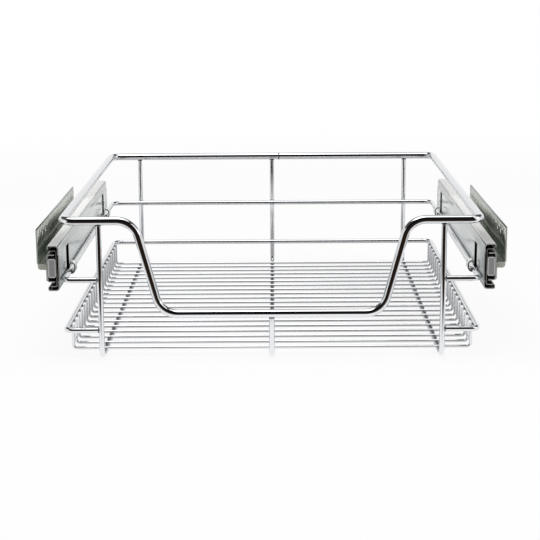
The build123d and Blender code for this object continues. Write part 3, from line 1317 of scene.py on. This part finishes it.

# %% [markdown]
# ### Zinc on the runners
#
# Outside, the runners are bright zinc with soft smears from handling, and their top faces are
# painted lighter, a painted highlight from the light above. Inside, where the balls run, a film of
# grease and painted shade makes them dark, darkest at the mouth, where the painted shade is
# deepest, and the cut edges of the windows are painted black, painted shade against the bright
# web. A second material on picked faces could do this, but masks of place and facing keep it in
# one, with soft borders.

# %% Zinc
zinc_lines_depth = 0.00002
mask_border = 0.0004
mouth_depth = (0.05, 0.015)
smear_reach = (0.12, -0.16)
film_start = sheet_thick * 0.75
half_window = window_width / 2

tree, shader, zinc = new_finish("bright_zinc")
lines = noise(tree, position(tree, (1, 0.02, 1)), 1400.0)
clouds = noise(tree, position(tree, (1, 0.3, 1)), 30.0, 1.0)
across, along, height = position(tree).parts()
facing_x, facing_y, facing_z = facing(tree)
side_face = facing_x.size().step(*square_on)
end_face = facing_y.size().step(*square_on)
top_face = facing_z.step(*square_on)

from_web = across.size() + web_face
# Faces inside the channel, where a grease film and painted shade darken the zinc.
inside = (from_web - film_start).step(0.0, mask_border)
inside = inside * across.size().step(-lip_mid_x, -lip_mid_x - mask_border)
inside = inside * (height - runner_z).size().step(half_high, half_high - mask_border)
grease_and_shade = inside * (1 - end_face)

first_hook, last_hook = hook_ys
near_hook = (along - first_hook).size() * (along - last_hook).size() / (last_hook - first_hook)
# The cut edges of the windows, which are painted black: painted shade.
cut_edge = near_hook.step(half_window + 2 * mask_border, half_window + mask_border) * end_face
cut_edge = cut_edge * from_web.step(sheet_thick + mask_border, sheet_thick)

smears = clouds * along.step(*smear_reach) * side_face
clean = clouds.mix((0.70, 0.735, 0.72), (0.83, 0.85, 0.83))
clean = smears.mix(clean, (0.30, 0.35, 0.34))
# Top faces painted lighter: a painted highlight.
clean = top_face.mix(clean, (0.88, 0.89, 0.86))
# Inside colour: grease film and painted shade, painted near black at the mouth.
mouth = (along - runner_front).step(*mouth_depth)
film = mouth.mix((0.26, 0.265, 0.25), (0.045, 0.046, 0.045))
# The windows' cut edges painted black: painted shade.
film = cut_edge.mix(film, (0.03, 0.03, 0.03))
bare = (1 - grease_and_shade) * (1 - cut_edge)
feed(
    tree,
    shader,
    Base_Color=bare.mix(film, clean),
    Metallic=0.68 - 0.36 * top_face,
    Roughness=0.10 + 0.10 * clouds + 0.03 * lines,
    Normal=bump(tree, lines, zinc_lines_depth, 0.2),
)
print("zinc:", len(zinc.node_tree.nodes), "shader nodes")

# %% [markdown]
# The middle members carry the grease of both rows of balls, and they are painted nearly black:
# grease and painted shade, for the dark gap behind the windows of the outer member, with smears
# along the way that they run. Only their sawn ends are wiped bright.

# %% Oily steel with painted shade on the middle members
tree, shader, oily_and_shaded = new_finish("oiled_shaded_zinc")
smear = noise(tree, position(tree, (1, 0.2, 1)), 60.0, 3.0)
end_face = facing(tree)[1].size().step(*square_on)
# Near black: grease and painted shade.
oil_and_shade = smear.mix((0.04, 0.04, 0.038), (0.10, 0.10, 0.095))
feed(
    tree,
    shader,
    Base_Color=end_face.mix(oil_and_shade, (0.75, 0.76, 0.75)),
    Metallic=1.0,
    Roughness=0.22 + 0.2 * smear,
)
print("oily steel:", len(oily_and_shaded.node_tree.nodes), "shader nodes")

# %% [markdown]
# ### Plate on the brackets
#
# The brackets are zinc too, but passivated: smooth as a mirror and faintly green, in slow
# drifts. What is cut or punched is duller than the plate. The walls of the holes look pale, the
# lip and the front edge of the plate greyer, and along the thin top edge a dark line of painted
# shade is drawn.

# %% Greenish bright plate
plate_lines_depth = 0.00001
top_edge_depth = 0.0006
cut_facing = (0.35, 0.7)
front_depth = (0.004, 0.002)
above_flange = (-0.001, 0.003)
lip_reach = (0.0016, 0.0004)

tree, shader, plate = new_finish("mirror_zinc")
drift = noise(tree, position(tree, (1, 0.5, 1)), 30.0, 1.0)
lines = noise(tree, position(tree, (1, 0.03, 1)), 900.0)
_, along, height = position(tree).parts()
cut_edge = facing(tree)[1].size().step(*cut_facing)
top_edge = height.step(plate_top - 2 * top_edge_depth, plate_top - top_edge_depth)
green = drift.mix((0.36, 0.40, 0.34), (0.70, 0.725, 0.65))
# A dark line of painted shade along the top edge.
green = top_edge.mix(green, (0.07, 0.09, 0.075))
from_flange = height - flange_z
front_edge = (along - bracket_front).step(*front_depth) * from_flange.step(*above_flange)
on_lip = from_flange.step(*lip_reach)
edge_colour = front_edge.mix((0.86, 0.86, 0.82), (0.36, 0.38, 0.34))
edge_colour = on_lip.mix(edge_colour, (0.42, 0.43, 0.38))
feed(
    tree,
    shader,
    Base_Color=cut_edge.mix(green, edge_colour),
    Metallic=0.84 - 0.6 * cut_edge,
    Roughness=0.13 + 0.05 * drift + 0.35 * cut_edge,
    Normal=bump(tree, lines, plate_lines_depth, 0.1),
)
print("bracket plate:", len(plate.node_tree.nodes), "shader nodes")

# %% [markdown]
# ### Balls, cages and bumpers
#
# The balls are polished steel under a thin film, and the cages are black sheet, rubbed a little
# along their travel. The bumpers are the only plastic: a grey with fine grain, whose raised
# border is paler than its sunk field.

# %% Polished balls
tree, shader, ball_steel = new_finish("polished_steel")
film = noise(tree, position(tree), 300.0)
feed(
    tree,
    shader,
    Base_Color=film.mix((0.66, 0.66, 0.67), (0.74, 0.74, 0.75)),
    Metallic=1.0,
    Roughness=0.06 + 0.08 * film,
)
print("balls:", len(ball_steel.node_tree.nodes), "shader nodes")

# %% Black cages
tree, shader, cage_black = new_finish("cage_black")
rub = noise(tree, position(tree, (1, 0.15, 1)), 220.0)
feed(
    tree,
    shader,
    Base_Color=rub.mix((0.02, 0.02, 0.02), (0.06, 0.06, 0.06)),
    Metallic=0.6,
    Roughness=0.35 + 0.2 * rub,
)
print("cages:", len(cage_black.node_tree.nodes), "shader nodes")

# %% Grey bumpers
grain_depth = 0.00005
border_depth = (0.0005, 0.0001)

tree, shader, grey_plastic = new_finish("grey_plastic")
grain = noise(tree, position(tree), 1600.0, 3.0)
patches = noise(tree, position(tree), 120.0)
_, along, _ = position(tree).parts()
# The raised border's front face is paler than the sunk field.
raised = (along - bumper_low.y).step(*border_depth)
body_grey = patches.mix((0.20, 0.205, 0.20), (0.27, 0.275, 0.27))
feed(
    tree,
    shader,
    Base_Color=raised.mix(body_grey, (0.46, 0.47, 0.465)),
    Roughness=0.42 + 0.16 * grain,
    Normal=bump(tree, grain, grain_depth, 0.5),
)
print("bumpers:", len(grey_plastic.node_tree.nodes), "shader nodes")

# %% [markdown]
# ### Putting the finishes on
#
# Most finishes are worn by several pieces, so one table says which piece wears which. The
# cages are still those of the frame, and get their black straight on.

# %% Dress the runners, the brackets and the cages
finish_of = {
    "runner_channel": zinc,
    "middle_channel": oily_and_shaded,
    "fixed_channel": zinc,
    "outer_ball_row": ball_steel,
    "inner_ball_row": ball_steel,
    "bumper_block": grey_plastic,
    "bracket": plate,
    "rivet_row": plate,
}
for piece, name in runner_pieces:
    dress(piece, finish_of[name])
for node, cad_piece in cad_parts.items():
    if "cage" in node:
        dress(cad_piece, cage_black)
print("runner pieces dressed:", len(runner_pieces))

# %% Let go of everything
let_go()
